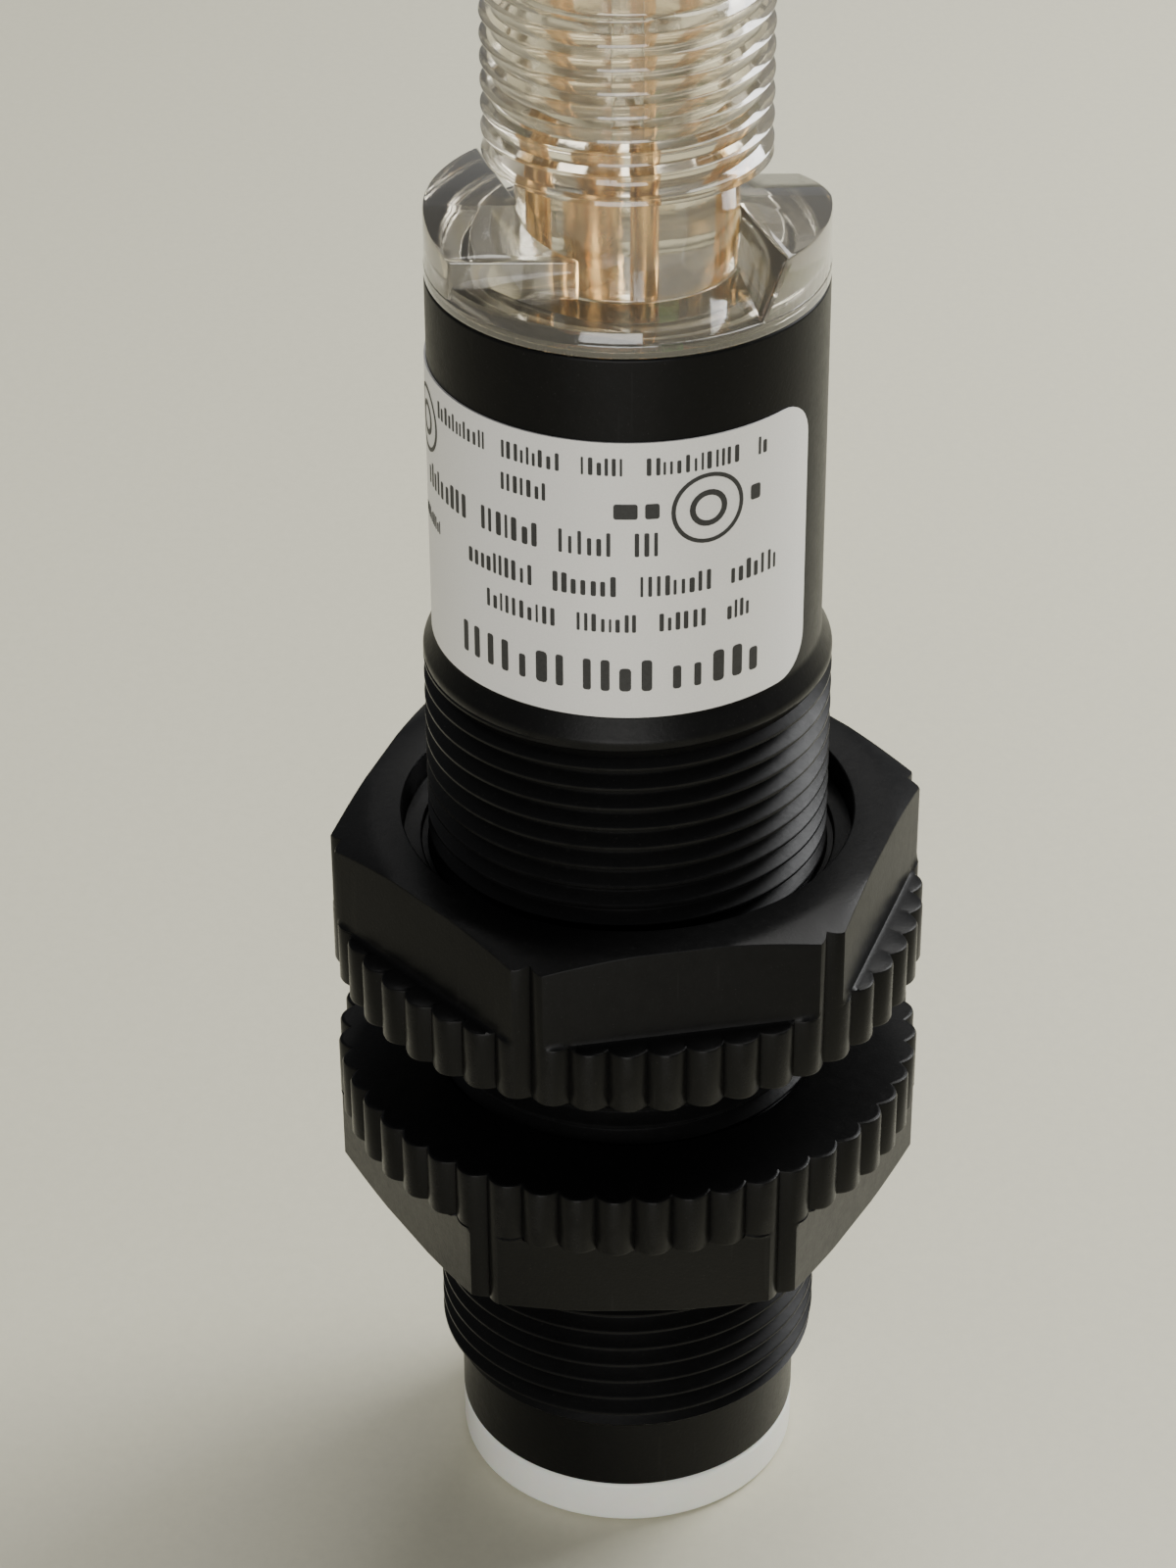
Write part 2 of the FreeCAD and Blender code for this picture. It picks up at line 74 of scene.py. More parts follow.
RIM_HIGH = barrel_high.z + 0.65 * MM
LUG_HIGH = RIM_HIGH + 2.4 * MM
LEDGE_H = 0.5 * MM
LEDGE_ARC_R = 14.85 * MM
LEDGE_ARC_X = 5.2 * MM
LEDGE_ARC_Y = 5.9 * MM
NECK_R = 4.7 * MM
NECK_HIGH = barrel_high.z + 5.5 * MM
PLUG_CREST_R = 6.0 * MM
PLUG_ROOT_R = PLUG_CREST_R - 0.5 * MM
PLUG_THREAD_HIGH = NECK_HIGH + 7.6 * MM
NOSE_R = 5.3 * MM
SOCKET_R = 4.3 * MM
SOCKET_LOW = cap_high.z - 8.0 * MM
CAVITY_HIGH = barrel_high.z + 0.4 * MM
SPIGOT_R = BORE_R - 0.03 * MM
CAVITY_R = SPIGOT_R - 1.0 * MM
LENS_SPIGOT_H = 2.6 * MM
SEAL_GROOVE_DEPTH = 0.81 * MM
SEAL_GROOVE_H = 1.0 * MM
CENTRE_R = 0.3 * MM          # small disc that closes a round face at the axis
SUNK = 0.15 * MM             # how far a lug or ledge reaches into the deck it stands on
LUG_BACK_Y = 4.3 * MM
LUG_FOOT_DEG = 39.0
LUG_HEAD_DEG = 49.0
LEDGE_START_DEG = -72.0
KEY_W = 1.2 * MM
KEY_DEPTH = 0.9 * MM
KEY_BELOW_TIP = 1.0 * MM

NUT_H = upper_nut_high.z - upper_nut_low.z
FLANGE_H = 3.05 * MM
TOOTH_R = upper_nut_high.x
FLAT_R = CREST_R + 3.0 * MM
TEETH = 48
TOOTH_DEPTH = 0.45 * MM
RECESS_R = CREST_R + 1.2 * MM
RECESS_H = 1.45 * MM
NUT_TOP_R = TOOTH_R - 1.35 * MM
NUT_CHAMFER_H = 0.5 * MM
NUT_BORE_R = CREST_R + 0.32 * MM
UPPER_NUT_TURN = math.radians(11.2)
LOWER_NUT_TURN = math.radians(1.2)

LABEL_R = UPPER_R + 0.01 * MM
LABEL_THICK = 0.08 * MM
LABEL_FROM = math.radians(-125.0) * LABEL_R      # bearings as lengths along the barrel
LABEL_TO = math.radians(60.5) * LABEL_R
LABEL_CORNER = 1.8 * MM
INK_THICK = 0.012 * MM
BEND_STEP = 0.45 * MM        # width of the strips that a bent sheet is cut into
SHARP_DEG = 38               # edges sharper than this are not smoothed

# One turn of each thread's outline: (share of the pitch, share of the depth).
BARREL_ROWS = ((0.0, 0.0), (0.07, 0.0), (0.13, 0.08), (0.40, 0.92), (0.45, 1.0),
               (0.55, 1.0), (0.60, 0.92), (0.87, 0.08), (0.93, 0.0), (1.0, 0.0))
PLUG_ROWS = ((0.0, 0.0), (0.18, 0.0), (0.26, 0.08), (0.44, 0.90), (0.48, 1.0), (0.52, 1.0),
             (0.56, 0.90), (0.74, 0.08), (0.82, 0.0), (1.0, 0.0))


# ---- shader maths -------------------------------------------------------------------
class Link:
    """A socket that can be used in Python expressions: each operator adds its Math node."""

    def __init__(self, finish, socket):
        self.finish = finish
        self.socket = socket

    def maths(self, operation, *values):
        return self.finish.node("ShaderNodeMath", {"operation": operation}, list(values))

    def __add__(self, other):
        return self.maths("ADD", self, other)

    def __sub__(self, other):
        return self.maths("SUBTRACT", self, other)

    def __rsub__(self, other):
        return self.maths("SUBTRACT", other, self)

    def __mul__(self, other):
        return self.maths("MULTIPLY", self, other)

    def __pow__(self, other):
        return self.maths("POWER", self, other)

    __radd__ = __add__
    __rmul__ = __mul__


class Finish:
    """A material built round one Principled shader."""

    def __init__(self, name, **constants):
        self.material = bpy.data.materials.new(name)
        self.material.use_nodes = True
        self.tree = self.material.node_tree
        self.shader = self.tree.nodes["Principled BSDF"]
        for socket, value in constants.items():
            self.shader.inputs[socket.replace("_", " ")].default_value = value

    def node(self, kind, settings=None, inputs=None, output=0):
        made = self.tree.nodes.new(kind)
        for key, value in (settings or {}).items():
            setattr(made, key, value)
        pairs = inputs.items() if isinstance(inputs, dict) else enumerate(inputs or [])
        for key, value in pairs:
            if isinstance(value, Link):
                self.tree.links.new(value.socket, made.inputs[key])
            else:
                made.inputs[key].default_value = value
        return Link(self, made.outputs[output])

    def feed(self, socket, value):
        self.tree.links.new(value.socket, self.shader.inputs[socket])
        return self

    def place(self, scale=(1, 1, 1)):
        """Object coordinates in metres, stretched by scale."""
        here = self.node("ShaderNodeTexCoord", output="Object")
        return self.node("ShaderNodeMapping", {}, {"Vector": here, "Scale": scale})

    def noise(self, per_mm, detail=3.0, rough=0.55, stretch=(1, 1, 1), shift=0.0):
        """Noise from 0 to 1 with about per_mm bumps in a millimetre."""
        return self.node("ShaderNodeTexNoise", {"noise_dimensions": "4D"},
                         {"Vector": self.place(stretch), "W": shift, "Scale": per_mm / MM,
                          "Detail": detail, "Roughness": rough})

    def cells(self, per_mm, feature="F1", shift=0.0, output="Distance"):
        return self.node("ShaderNodeTexVoronoi", {"feature": feature, "voronoi_dimensions": "4D"},
                         {"Vector": self.place(), "W": shift, "Scale": per_mm / MM}, output)

    def above(self, value, edge, softness):
        """0 below edge, 1 above it, turning over softness."""
        return self.node("ShaderNodeMapRange", {"interpolation_type": "SMOOTHSTEP"},
                         {"Value": value, "From Min": edge - softness / 2,
                          "From Max": edge + softness / 2})

    def axis(self, name):
        """One Object coordinate, X, Y or Z, in metres."""
        here = self.node("ShaderNodeTexCoord", output="Object")
        return self.node("ShaderNodeSeparateXYZ", {}, [here], name)

    def radius(self):
        """Distance from the sensor's own axis, in metres."""
        x, y = self.axis("X"), self.axis("Y")
        return (x * x + y * y) ** 0.5

    def mix(self, share, first, second):
        """Colour between first and second."""
        return self.node("ShaderNodeMix", {"data_type": "RGBA"}, {0: share, 6: first, 7: second}, 2)

    def relief(self, height, depth):
        """Surface relief of a height from 0 to 1, depth metres deep."""
        return self.feed("Normal", self.node("ShaderNodeBump", {}, {
            "Height": height, "Distance": depth, "Strength": 1.0}))


def grey(value, warm=0.0):
    return (value * (1 + warm), value, value * (1 - warm), 1.0)


# ---- finishes -----------------------------------------------------------------------
def moulded_black(name, base, gloss, roughness, wear_r, grain_per_mm=5.0):
    """Black moulded plastic: fine grain, faint flow marks, dust, and wear beyond one radius."""
    f = Finish(name, Specular_IOR_Level=gloss)
    mottle = f.noise(1.6, 4.0, 0.7)
    grain = f.noise(grain_per_mm, 2.0, 0.6, shift=3.0)
    specks = f.above(f.noise(9.0, 2.0, 0.8, shift=8.0), 0.68, 0.05)
    rubbed = f.above(f.radius(), wear_r, 0.12 * MM) * f.above(f.noise(0.9, 3.0, shift=5.0), 0.45, 0.2)
    scratches = f.above(f.noise(2.2, 2.0, 0.4, (1, 1, 0.06), 11.0), 0.70, 0.03)
    dark = f.mix(mottle, grey(base * 0.8), grey(base * 1.35))
    worn = f.mix(rubbed * 0.45 + scratches * 0.3, dark, grey(base * 3.2))
    f.feed("Base Color", f.mix(specks * 0.3, worn, grey(0.05, 0.05)))
    f.feed("Roughness", roughness + (mottle - 0.5) * 0.16 - rubbed * 0.1 + (grain - 0.5) * 0.1)
    f.relief(grain * 0.6 + mottle * 0.4, 0.012 * MM)
    return f.material


def silver_film():
    """Silver-white printed label stock: brushed sheen, fine sparkle and faint handling marks."""
    f = Finish("silver_label_film", Metallic=0.2, Specular_IOR_Level=0.5)
    sparkle = f.noise(14.0, 2.0, 0.8)
    brushed = f.noise(3.0, 3.0, 0.6, (1, 1, 0.15), 2.0)
    smudge = f.noise(0.35, 3.0, 0.6, shift=6.0)
    tone = f.mix(sparkle, grey(0.68, 0.01), grey(0.88, 0.01))
    f.feed("Base Color", f.mix(smudge * 0.35, tone, grey(0.74, 0.02)))
    f.feed("Roughness", 0.36 + (smudge - 0.5) * 0.2 + (brushed - 0.5) * 0.12)
    f.relief(sparkle * 0.5 + brushed * 0.5, 0.004 * MM)
    return f.material


def label_ink():
    """Dark printed ink, a little patchy where it sits on the film's grain."""
    f = Finish("label_ink", Specular_IOR_Level=0.35)
    patch = f.noise(6.0, 3.0, 0.7)
    f.feed("Base Color", f.mix(patch, grey(0.012), grey(0.05)))
    f.feed("Roughness", 0.45 + patch * 0.2)
    return f.material


def clear_plastic():
    """Clear moulded plastic gone warm and a little milky, glossy outside, with flow lines."""
    f = Finish("clear_cap_plastic", Transmission_Weight=0.92, IOR=1.5, Coat_Roughness=0.04)
    flow = f.noise(0.5, 3.0, 0.5, (1, 1, 0.3))
    haze = f.noise(2.5, 4.0, 0.6, shift=4.0)
    scuff = f.above(f.noise(3.5, 3.0, 0.6, (1, 1, 0.4), 9.0), 0.64, 0.06)
    f.feed("Base Color", f.mix(haze, (0.90, 0.82, 0.64, 1), (0.96, 0.90, 0.75, 1)))
    f.feed("Roughness", 0.06 + f.above(haze, 0.6, 0.3) * 0.08 + scuff * 0.15)
    f.feed("Coat Weight", 1 - scuff * 0.6)
    f.relief(flow * 0.8 + haze * 0.2, 0.03 * MM)
    return f.material


def lens_rim_frost():
    """Frosted off-white rim of the front lens."""
    f = Finish("lens_rim_frost", Transmission_Weight=0.08, IOR=1.49, Subsurface_Weight=0.3,
               Subsurface_Scale=1.0 * MM)
    cloud = f.noise(0.8, 3.0, 0.6)
    fine = f.noise(8.0, 2.0, 0.6, shift=2.0)
    scuff = f.above(f.noise(2.0, 3.0, 0.6, (1, 1, 0.25), 7.0), 0.62, 0.08)
    tone = f.mix(cloud, (0.86, 0.855, 0.79, 1), (0.94, 0.935, 0.87, 1))
    f.feed("Base Color", f.mix(scuff * 0.4, tone, (0.88, 0.87, 0.84, 1)))
    f.feed("Roughness", 0.32 + (fine - 0.5) * 0.15 + scuff * 0.15)
    f.relief(fine * 0.6 + cloud * 0.4, 0.008 * MM)
    return f.material


def lens_face():
    """Polished clear acrylic of the sensing face."""
    f = Finish("lens_face_acrylic", Transmission_Weight=1.0, IOR=1.49)
    haze = f.noise(1.5, 4.0, 0.6)
    f.feed("Base Color", f.mix(haze, (0.95, 0.95, 0.94, 1), (0.99, 0.985, 0.97, 1)))
    f.feed("Roughness", 0.02 + f.above(haze, 0.62, 0.2) * 0.08)
    f.relief(haze, 0.004 * MM)
    return f.material


def tinted_resin(name, colour, glow=0.0):
    """Tinted clear resin of a light or a photodiode."""
    f = Finish(name, Transmission_Weight=0.5, IOR=1.5, Emission_Strength=glow)
    cloud = f.noise(1.2, 2.0)
    deep = tuple(c * 0.7 for c in colour[:3]) + (1.0,)
    f.feed("Base Color", f.mix(cloud, deep, colour))
    if glow:
        f.feed("Emission Color", f.mix(cloud, deep, colour))
    f.feed("Roughness", 0.12 + cloud * 0.12)
    f.relief(cloud, 0.01 * MM)
    return f.material


def solder_mask():
    """Green board: traces under the mask, tinned pads, and a faint glass weave."""
    f = Finish("green_solder_mask", Specular_IOR_Level=0.5)
    weave_y = f.node("ShaderNodeTexWave", {"bands_direction": "Y"},
                     {"Vector": f.place(), "Scale": 0.55 / MM, "Distortion": 0.6})
    weave_z = f.node("ShaderNodeTexWave", {"bands_direction": "Z"},
                     {"Vector": f.place(), "Scale": 0.55 / MM, "Distortion": 0.6})
    traces = f.above(f.cells(0.55, "DISTANCE_TO_EDGE"), 0.10, 0.03)
    pads = 1 - f.above(f.cells(0.75, shift=4.0), 0.20, 0.03)
    mask = f.mix(traces, (0.075, 0.27, 0.07, 1), (0.03, 0.15, 0.035, 1))
    f.feed("Base Color", f.mix(pads, mask, (0.72, 0.70, 0.62, 1)))
    f.feed("Metallic", pads * 0.9)
    f.feed("Roughness", 0.32 + (weave_y - 0.5) * 0.08 + pads * 0.05)
    f.relief(weave_y * 0.3 + weave_z * 0.3 + pads * 0.3 + traces * 0.1, 0.02 * MM)
    return f.material


def metal(name, bright, dull, roughness, per_mm=3.0):
    """Plated metal with drawing marks along its length and slight tarnish."""
    f = Finish(name, Metallic=1.0)
    drawn = f.noise(per_mm, 3.0, 0.6, (1, 1, 0.08))
    tarnish = f.noise(0.7, 3.0, 0.6, shift=5.0)
    f.feed("Base Color", f.mix(tarnish, dull, bright))
    f.feed("Roughness", roughness + (drawn - 0.5) * 0.15 + (tarnish - 0.5) * 0.1)
    f.relief(drawn, 0.006 * MM)
    return f.material


def plain_moulding(name, dark, light, roughness, per_mm=4.0, depth=0.01 * MM):
    """Small moulded, ceramic or rubber piece with fine grain and uneven tone."""
    f = Finish(name)
    cloud = f.noise(per_mm * 0.3, 3.0, 0.6)
    grain = f.noise(per_mm, 2.0, 0.6, shift=3.0)
    f.feed("Base Color", f.mix(cloud, dark, light))
    f.feed("Roughness", roughness + (grain - 0.5) * 0.16)
    f.relief(grain, depth)
    return f.material


def polarising_film():
    """Grey film with fine parallel lines of its stretched polymer."""
    f = Finish("polarising_film", Transmission_Weight=0.4, IOR=1.49)
    lines = f.noise(6.0, 2.0, 0.5, (0.05, 1, 1))
    f.feed("Base Color", f.mix(lines, (0.10, 0.10, 0.13, 1), (0.20, 0.20, 0.24, 1)))
    f.feed("Roughness", 0.12 + lines * 0.1)
    f.relief(lines, 0.002 * MM)
    return f.material


def pale_floor():
    """Pale, warm grey laminate with a very fine speckle."""
    f = Finish("pale_floor", Specular_IOR_Level=0.35)
    speckle = f.noise(1.4, 3.0, 0.7)
    cloud = f.noise(0.02, 3.0, 0.5, shift=2.0)
    tone = f.mix(speckle, (0.53, 0.51, 0.395, 1), (0.64, 0.615, 0.48, 1))
    f.feed("Base Color", f.mix(cloud * 0.4, tone, (0.59, 0.565, 0.44, 1)))
    f.feed("Roughness", 0.5 + (speckle - 0.5) * 0.1)
    f.relief(speckle, 0.006 * MM)
    return f.material


# ---- mesh helpers ---------------------------------------------------------------------
def softened(points, radius, steps=3):
    """A (radius, height) outline with each inner corner rounded."""
    out = [tuple(points[0])]
    for before, corner, after in zip(points, points[1:], points[2:]):
        middle = Vector(corner)
        back, ahead = Vector(before) - middle, Vector(after) - middle
        start = middle + back.normalized() * min(radius, 0.45 * back.length)
        end = middle + ahead.normalized() * min(radius, 0.45 * ahead.length)
        for i in range(steps + 1):
            t = i / steps
            out.append(tuple(start * (1 - t) ** 2 + middle * 2 * t * (1 - t) + end * t * t))
    return out + [tuple(points[-1])]


def ring(bm, radius, z, around):
    """Open circle of edges round the axis."""
    made = bmesh.ops.create_circle(bm, segments=around, radius=radius)
    bmesh.ops.translate(bm, verts=made["verts"], vec=(0, 0, z))
    return list({edge for vert in made["verts"] for edge in vert.link_edges})


def carry_on(bm, rim, stations):
    """Extrudes a rim through (radius, height) stations; either may depend on the angle."""
    for radius, height in stations:
        made = bmesh.ops.extrude_edge_only(bm, edges=rim)["geom"]
        fresh = {item for item in made if isinstance(item, bmesh.types.BMVert)}
        for vert in fresh:
            angle = math.atan2(vert.co.y, vert.co.x)
            r = radius(angle) if callable(radius) else radius
            z = height(angle) if callable(height) else height
            vert.co = (r * math.cos(angle), r * math.sin(angle), z)
        rim = [item for item in made if isinstance(item, bmesh.types.BMEdge)
               and item.verts[0] in fresh and item.verts[1] in fresh]
    return rim


def close_rim(bm, rim):
    """Fills a closed rim with one face."""
    bmesh.ops.contextual_create(bm, geom=rim)


def thread_level(rows, phase):
    """Share of the thread's depth at a share of its pitch."""
    for (a, low), (b, high) in zip(rows, rows[1:]):
        if phase <= b:
            return low + (high - low) * (phase - a) / (b - a)
    return 0.0


def helix(bm, rows, root_r, crest_r, z0, z1, limit, origin_z):
    """Right-hand thread between two heights.  Returns its lower and upper rims."""
    first = z0 - PITCH + ((origin_z - z0) % PITCH) - PITCH
    turns = math.ceil((z1 - first) / PITCH) + 1
    heights = [first + (turn + row[0]) * PITCH for turn in range(turns) for row in rows[:-1]]
    verts = [bm.verts.new((root_r, 0, z)) for z in heights]
    edges = [bm.edges.new(pair) for pair in zip(verts, verts[1:])]
    bmesh.ops.spin(bm, geom=verts + edges, cent=(0, 0, 0), axis=(0, 0, 1), angle=FULL_TURN,
                   dvec=(0, 0, PITCH / BARREL_AROUND), steps=BARREL_AROUND, use_merge=False,
                   use_normal_flip=False, use_duplicate=False)
    bmesh.ops.remove_doubles(bm, verts=bm.verts, dist=0.0002 * MM)
    for vert in bm.verts:
        angle = math.atan2(vert.co.y, vert.co.x)
        phase = ((vert.co.z - origin_z) / PITCH - angle / FULL_TURN) % 1.0
        z = min(max(vert.co.z, z0), z1)
        r = limit(root_r + (crest_r - root_r) * thread_level(rows, phase), z)
        vert.co = (r * math.cos(angle), r * math.sin(angle), z)
    bmesh.ops.remove_doubles(bm, verts=bm.verts, dist=0.0002 * MM)
    rims = []
    for z in (z0, z1):
        rims.append([edge for edge in bm.edges if edge.is_boundary
                     and all(abs(v.co.z - z) < 0.001 * MM for v in edge.verts)])
    return rims


def new_object(bm, name, finishes, sharp_deg=SHARP_DEG):
    """Closes off a bmesh as an object at the origin."""
    bmesh.ops.remove_doubles(bm, verts=bm.verts, dist=0.0002 * MM)
    bmesh.ops.recalc_face_normals(bm, faces=bm.faces)
    mesh = bpy.data.meshes.new(name)
    bm.to_mesh(mesh)
    bm.free()
    for finish in finishes:
        mesh.materials.append(finish)
    mesh.polygons.foreach_set("use_smooth", [True] * len(mesh.polygons))
    mesh.set_sharp_from_angle(angle=math.radians(sharp_deg))
    made = bpy.data.objects.new(name, mesh)
    bpy.context.scene.collection.objects.link(made)
    return made


def fit_piece(piece, body, node):
    """Makes a piece ride on its body and stand for its CAD node."""
    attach(piece, body)
    if node:
        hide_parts(node)
    return piece


def united(main, others):
    """main with the other solids joined to it as one closed solid."""
    for other in others:
        joint = main.modifiers.new("join", "BOOLEAN")
        joint.operation = "UNION"
        joint.solver = "EXACT"
        joint.object = other
    bpy.context.view_layer.update()
    graph = bpy.context.evaluated_depsgraph_get()
    whole = bpy.data.meshes.new_from_object(main.evaluated_get(graph))
    main.modifiers.clear()
    old = main.data
    main.data = whole
    bpy.data.meshes.remove(old)
    for other in others:
        bpy.data.objects.remove(other)
    whole.polygons.foreach_set("use_smooth", [True] * len(whole.polygons))
    whole.set_sharp_from_angle(angle=math.radians(SHARP_DEG))
    return main


# ---- barrel -----------------------------------------------------------------------------
def barrel_limit(r, z):
    """Chamfered start at the bottom, and grooves that run out at the top."""
    start = ROOT_R + (z - THREAD_LOW) * 0.9
    runout = ROOT_R + (CREST_R - ROOT_R) * (z - THREAD_HIGH + PITCH) / PITCH
    return max(min(r, start), min(runout, CREST_R))


def make_barrel(finish):
    """Threaded tube with a plain front end and a plain, narrower upper end."""
    bm = bmesh.new()
    low, high = helix(bm, BARREL_ROWS, ROOT_R, CREST_R, THREAD_LOW, THREAD_HIGH, barrel_limit,
                      THREAD_LOW)
    carry_on(bm, low, softened([(ROOT_R, THREAD_LOW), (FRONT_R, THREAD_LOW - 0.12 * MM),
                                (FRONT_R, barrel_low.z), (BORE_R, barrel_low.z)],
                               0.12 * MM)[1:])
    top = [(CREST_R, THREAD_HIGH), (CREST_R, THREAD_HIGH + 0.25 * MM), (UPPER_R, RUNOUT_HIGH),
           (UPPER_R, barrel_high.z), (BORE_R, barrel_high.z), (BORE_R, barrel_low.z)]
    carry_on(bm, high, softened(top, 0.14 * MM)[1:])
    return fit_piece(new_object(bm, "barrel_shell", [finish]), BODY, "barrel")


# ---- front lens ---------------------------------------------------------------------------
def make_front_lens(frost, clear):
    """Frosted rim round a clear face, with the two lenses bulging inwards."""
    bm = bmesh.new()
    rim_high = barrel_low.z
    back = rim_high + LENS_SPIGOT_H
    edge = [(FRONT_R - 1.5 * MM, 0.0), (FRONT_R, 0.0), (FRONT_R, rim_high),
            (SPIGOT_R, rim_high), (SPIGOT_R, back)]
    rim = ring(bm, edge[0][0], 0.0, BARREL_AROUND)
    outer = carry_on(bm, rim, softened(edge, 0.45 * MM, 5)[1:])
    for face in bm.faces:
        face.material_index = 0
    close_rim(bm, rim)
    close_rim(bm, outer)
    for face in bm.faces:
        if len(face.verts) > 4:
            face.material_index = 1
    lens = new_object(bm, "front_lens_moulding", [frost, clear])
    domes = []
    low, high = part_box("emitter_polariser")
    spread = (low.x + high.x) / 2
    aperture = (high.x - low.x) / 2 - 0.1 * MM
    dome_h = lens_high.z - back
    dome_r = (aperture ** 2 + dome_h ** 2) / (2 * dome_h)
    for side in (-1, 1):
        cap = bmesh.new()
        bmesh.ops.create_uvsphere(cap, u_segments=64, v_segments=48, radius=dome_r)
        bmesh.ops.translate(cap, verts=cap.verts, vec=(side * spread, 0, lens_high.z - dome_r))
        cut = bmesh.ops.bisect_plane(cap, geom=cap.verts[:] + cap.edges[:] + cap.faces[:],
                                     plane_co=(0, 0, back - 0.2 * MM), plane_no=(0, 0, -1),
                                     clear_outer=True)
        edges = [item for item in cut["geom_cut"] if isinstance(item, bmesh.types.BMEdge)]
        close_rim(cap, edges)
        for face in cap.faces:
            face.material_index = 1
        domes.append(new_object(cap, "dome", [frost, clear]))
    united(lens, domes)
    return fit_piece(lens, BODY, "front_lens")


# ---- end cap ----------------------------------------------------------------------------
def plug_limit(r, z):
    """Grooves that run out at the neck, and a chamfered start at the nose."""
    runout = PLUG_ROOT_R + (PLUG_CREST_R - PLUG_ROOT_R) * (NECK_HIGH + 0.8 * MM - z) / (0.8 * MM)
    start = PLUG_ROOT_R + (PLUG_THREAD_HIGH - z) * 1.1
    return min(max(r, min(runout, PLUG_CREST_R)), start)


def cap_core(finish):
    """Everything of the cap that is round: rim, neck, thread, nose and socket."""
    bm = bmesh.new()
    low, high = helix(bm, PLUG_ROWS, PLUG_ROOT_R, PLUG_CREST_R, NECK_HIGH, PLUG_THREAD_HIGH,
                      plug_limit, NECK_HIGH)
    foot = cap_low.z
    middle = (foot + barrel_high.z) / 2
    groove = SEAL_GROOVE_H / 2
    groove_r = SPIGOT_R - SEAL_GROOVE_DEPTH
    down = [(PLUG_CREST_R, NECK_HIGH), (NECK_R, NECK_HIGH - 0.35 * MM), (NECK_R, RIM_HIGH),
            (UPPER_R, RIM_HIGH), (UPPER_R, barrel_high.z), (SPIGOT_R, barrel_high.z),
            (SPIGOT_R, middle + groove), (groove_r, middle + groove), (groove_r, middle - groove),
            (SPIGOT_R, middle - groove), (SPIGOT_R, foot), (CAVITY_R, foot),
            (CAVITY_R, CAVITY_HIGH), (CENTRE_R, CAVITY_HIGH)]
    close_rim(bm, carry_on(bm, low, softened(down, 0.13 * MM)[1:]))
    up = [(PLUG_ROOT_R, PLUG_THREAD_HIGH), (NOSE_R, PLUG_THREAD_HIGH + 0.1 * MM),
          (NOSE_R, cap_high.z), (SOCKET_R, cap_high.z), (SOCKET_R, SOCKET_LOW),
          (CENTRE_R, SOCKET_LOW)]
    close_rim(bm, carry_on(bm, high, softened(up, 0.16 * MM)[1:]))
    return new_object(bm, "clear_end_cap", [finish])


def bearing(radius, degrees, z):
    """Point at an angle counted from -Y towards +X."""
    a = math.radians(degrees)
    return Vector((radius * math.sin(a), -radius * math.cos(a), z))


def prism(foot, head):
    """Closed solid between two outlines of the same number of points."""
    bm = bmesh.new()
    loops = [[bm.verts.new(point) for point in outline] for outline in (foot, head)]
    edges = []
    for loop in loops:
        face = bm.faces.new(loop)
        edges += face.edges[:]
    bmesh.ops.bridge_loops(bm, edges=edges)
    bmesh.ops.recalc_face_normals(bm, faces=bm.faces)
    return bm


def lug_outline(z, rim_deg, inner, steps=18):
    """Plan of the tall lug at one height: arc along the rim, back edge, and front wall."""
    outer_r = UPPER_R - 0.02 * MM
    back_deg = 90 + math.degrees(math.asin(LUG_BACK_Y / outer_r))
    arc = [bearing(outer_r, rim_deg + (back_deg - rim_deg) * i / steps, z)
           for i in range(steps + 1)]
    return arc + [Vector((0.4 * NECK_R, LUG_BACK_Y, z)), Vector((0.4 * NECK_R, inner[1], z)),
                  Vector((inner[0], inner[1], z))]


def make_lug(half_turn, finish):
    """Tall lug on the rim: sloped front wall, upright back, and a top that falls backwards."""
    root = RIM_HIGH - SUNK
    bm = prism(lug_outline(root, LUG_FOOT_DEG, (NECK_R - 0.2 * MM, -1.5 * MM)),
               lug_outline(LUG_HIGH, LUG_HEAD_DEG, (NECK_R, -0.4 * MM)))
    cut = bmesh.ops.bisect_plane(bm, geom=bm.verts[:] + bm.edges[:] + bm.faces[:],
                                 plane_co=(0, 0.5 * MM, LUG_HIGH), plane_no=(0, 0.7, 3.8),
                                 clear_outer=True)
    edges = [item for item in cut["geom_cut"] if isinstance(item, bmesh.types.BMEdge)]
    close_rim(bm, edges)
    corners = [edge for edge in bm.edges if edge.calc_face_angle(0.0) > math.radians(25)
               and max(v.co.z for v in edge.verts) > root + 0.3 * MM]
    bmesh.ops.bevel(bm, geom=corners, offset=0.14 * MM, segments=2, profile=0.5, affect="EDGES",
                    material=-1, clamp_overlap=True)
    bmesh.ops.rotate(bm, verts=bm.verts, cent=(0, 0, 0), matrix=Matrix.Rotation(half_turn, 3, "Z"))
    return new_object(bm, "lug", [finish])


def ledge_inner_r(degrees):
    """Distance from the axis to the ledge's inner edge, which is a flatter arc than the rim."""
    a = math.radians(degrees)
    along = LEDGE_ARC_X * math.sin(a) - LEDGE_ARC_Y * math.cos(a)
    offset = LEDGE_ARC_X ** 2 + LEDGE_ARC_Y ** 2
    return along + math.sqrt(LEDGE_ARC_R ** 2 - offset + along ** 2)


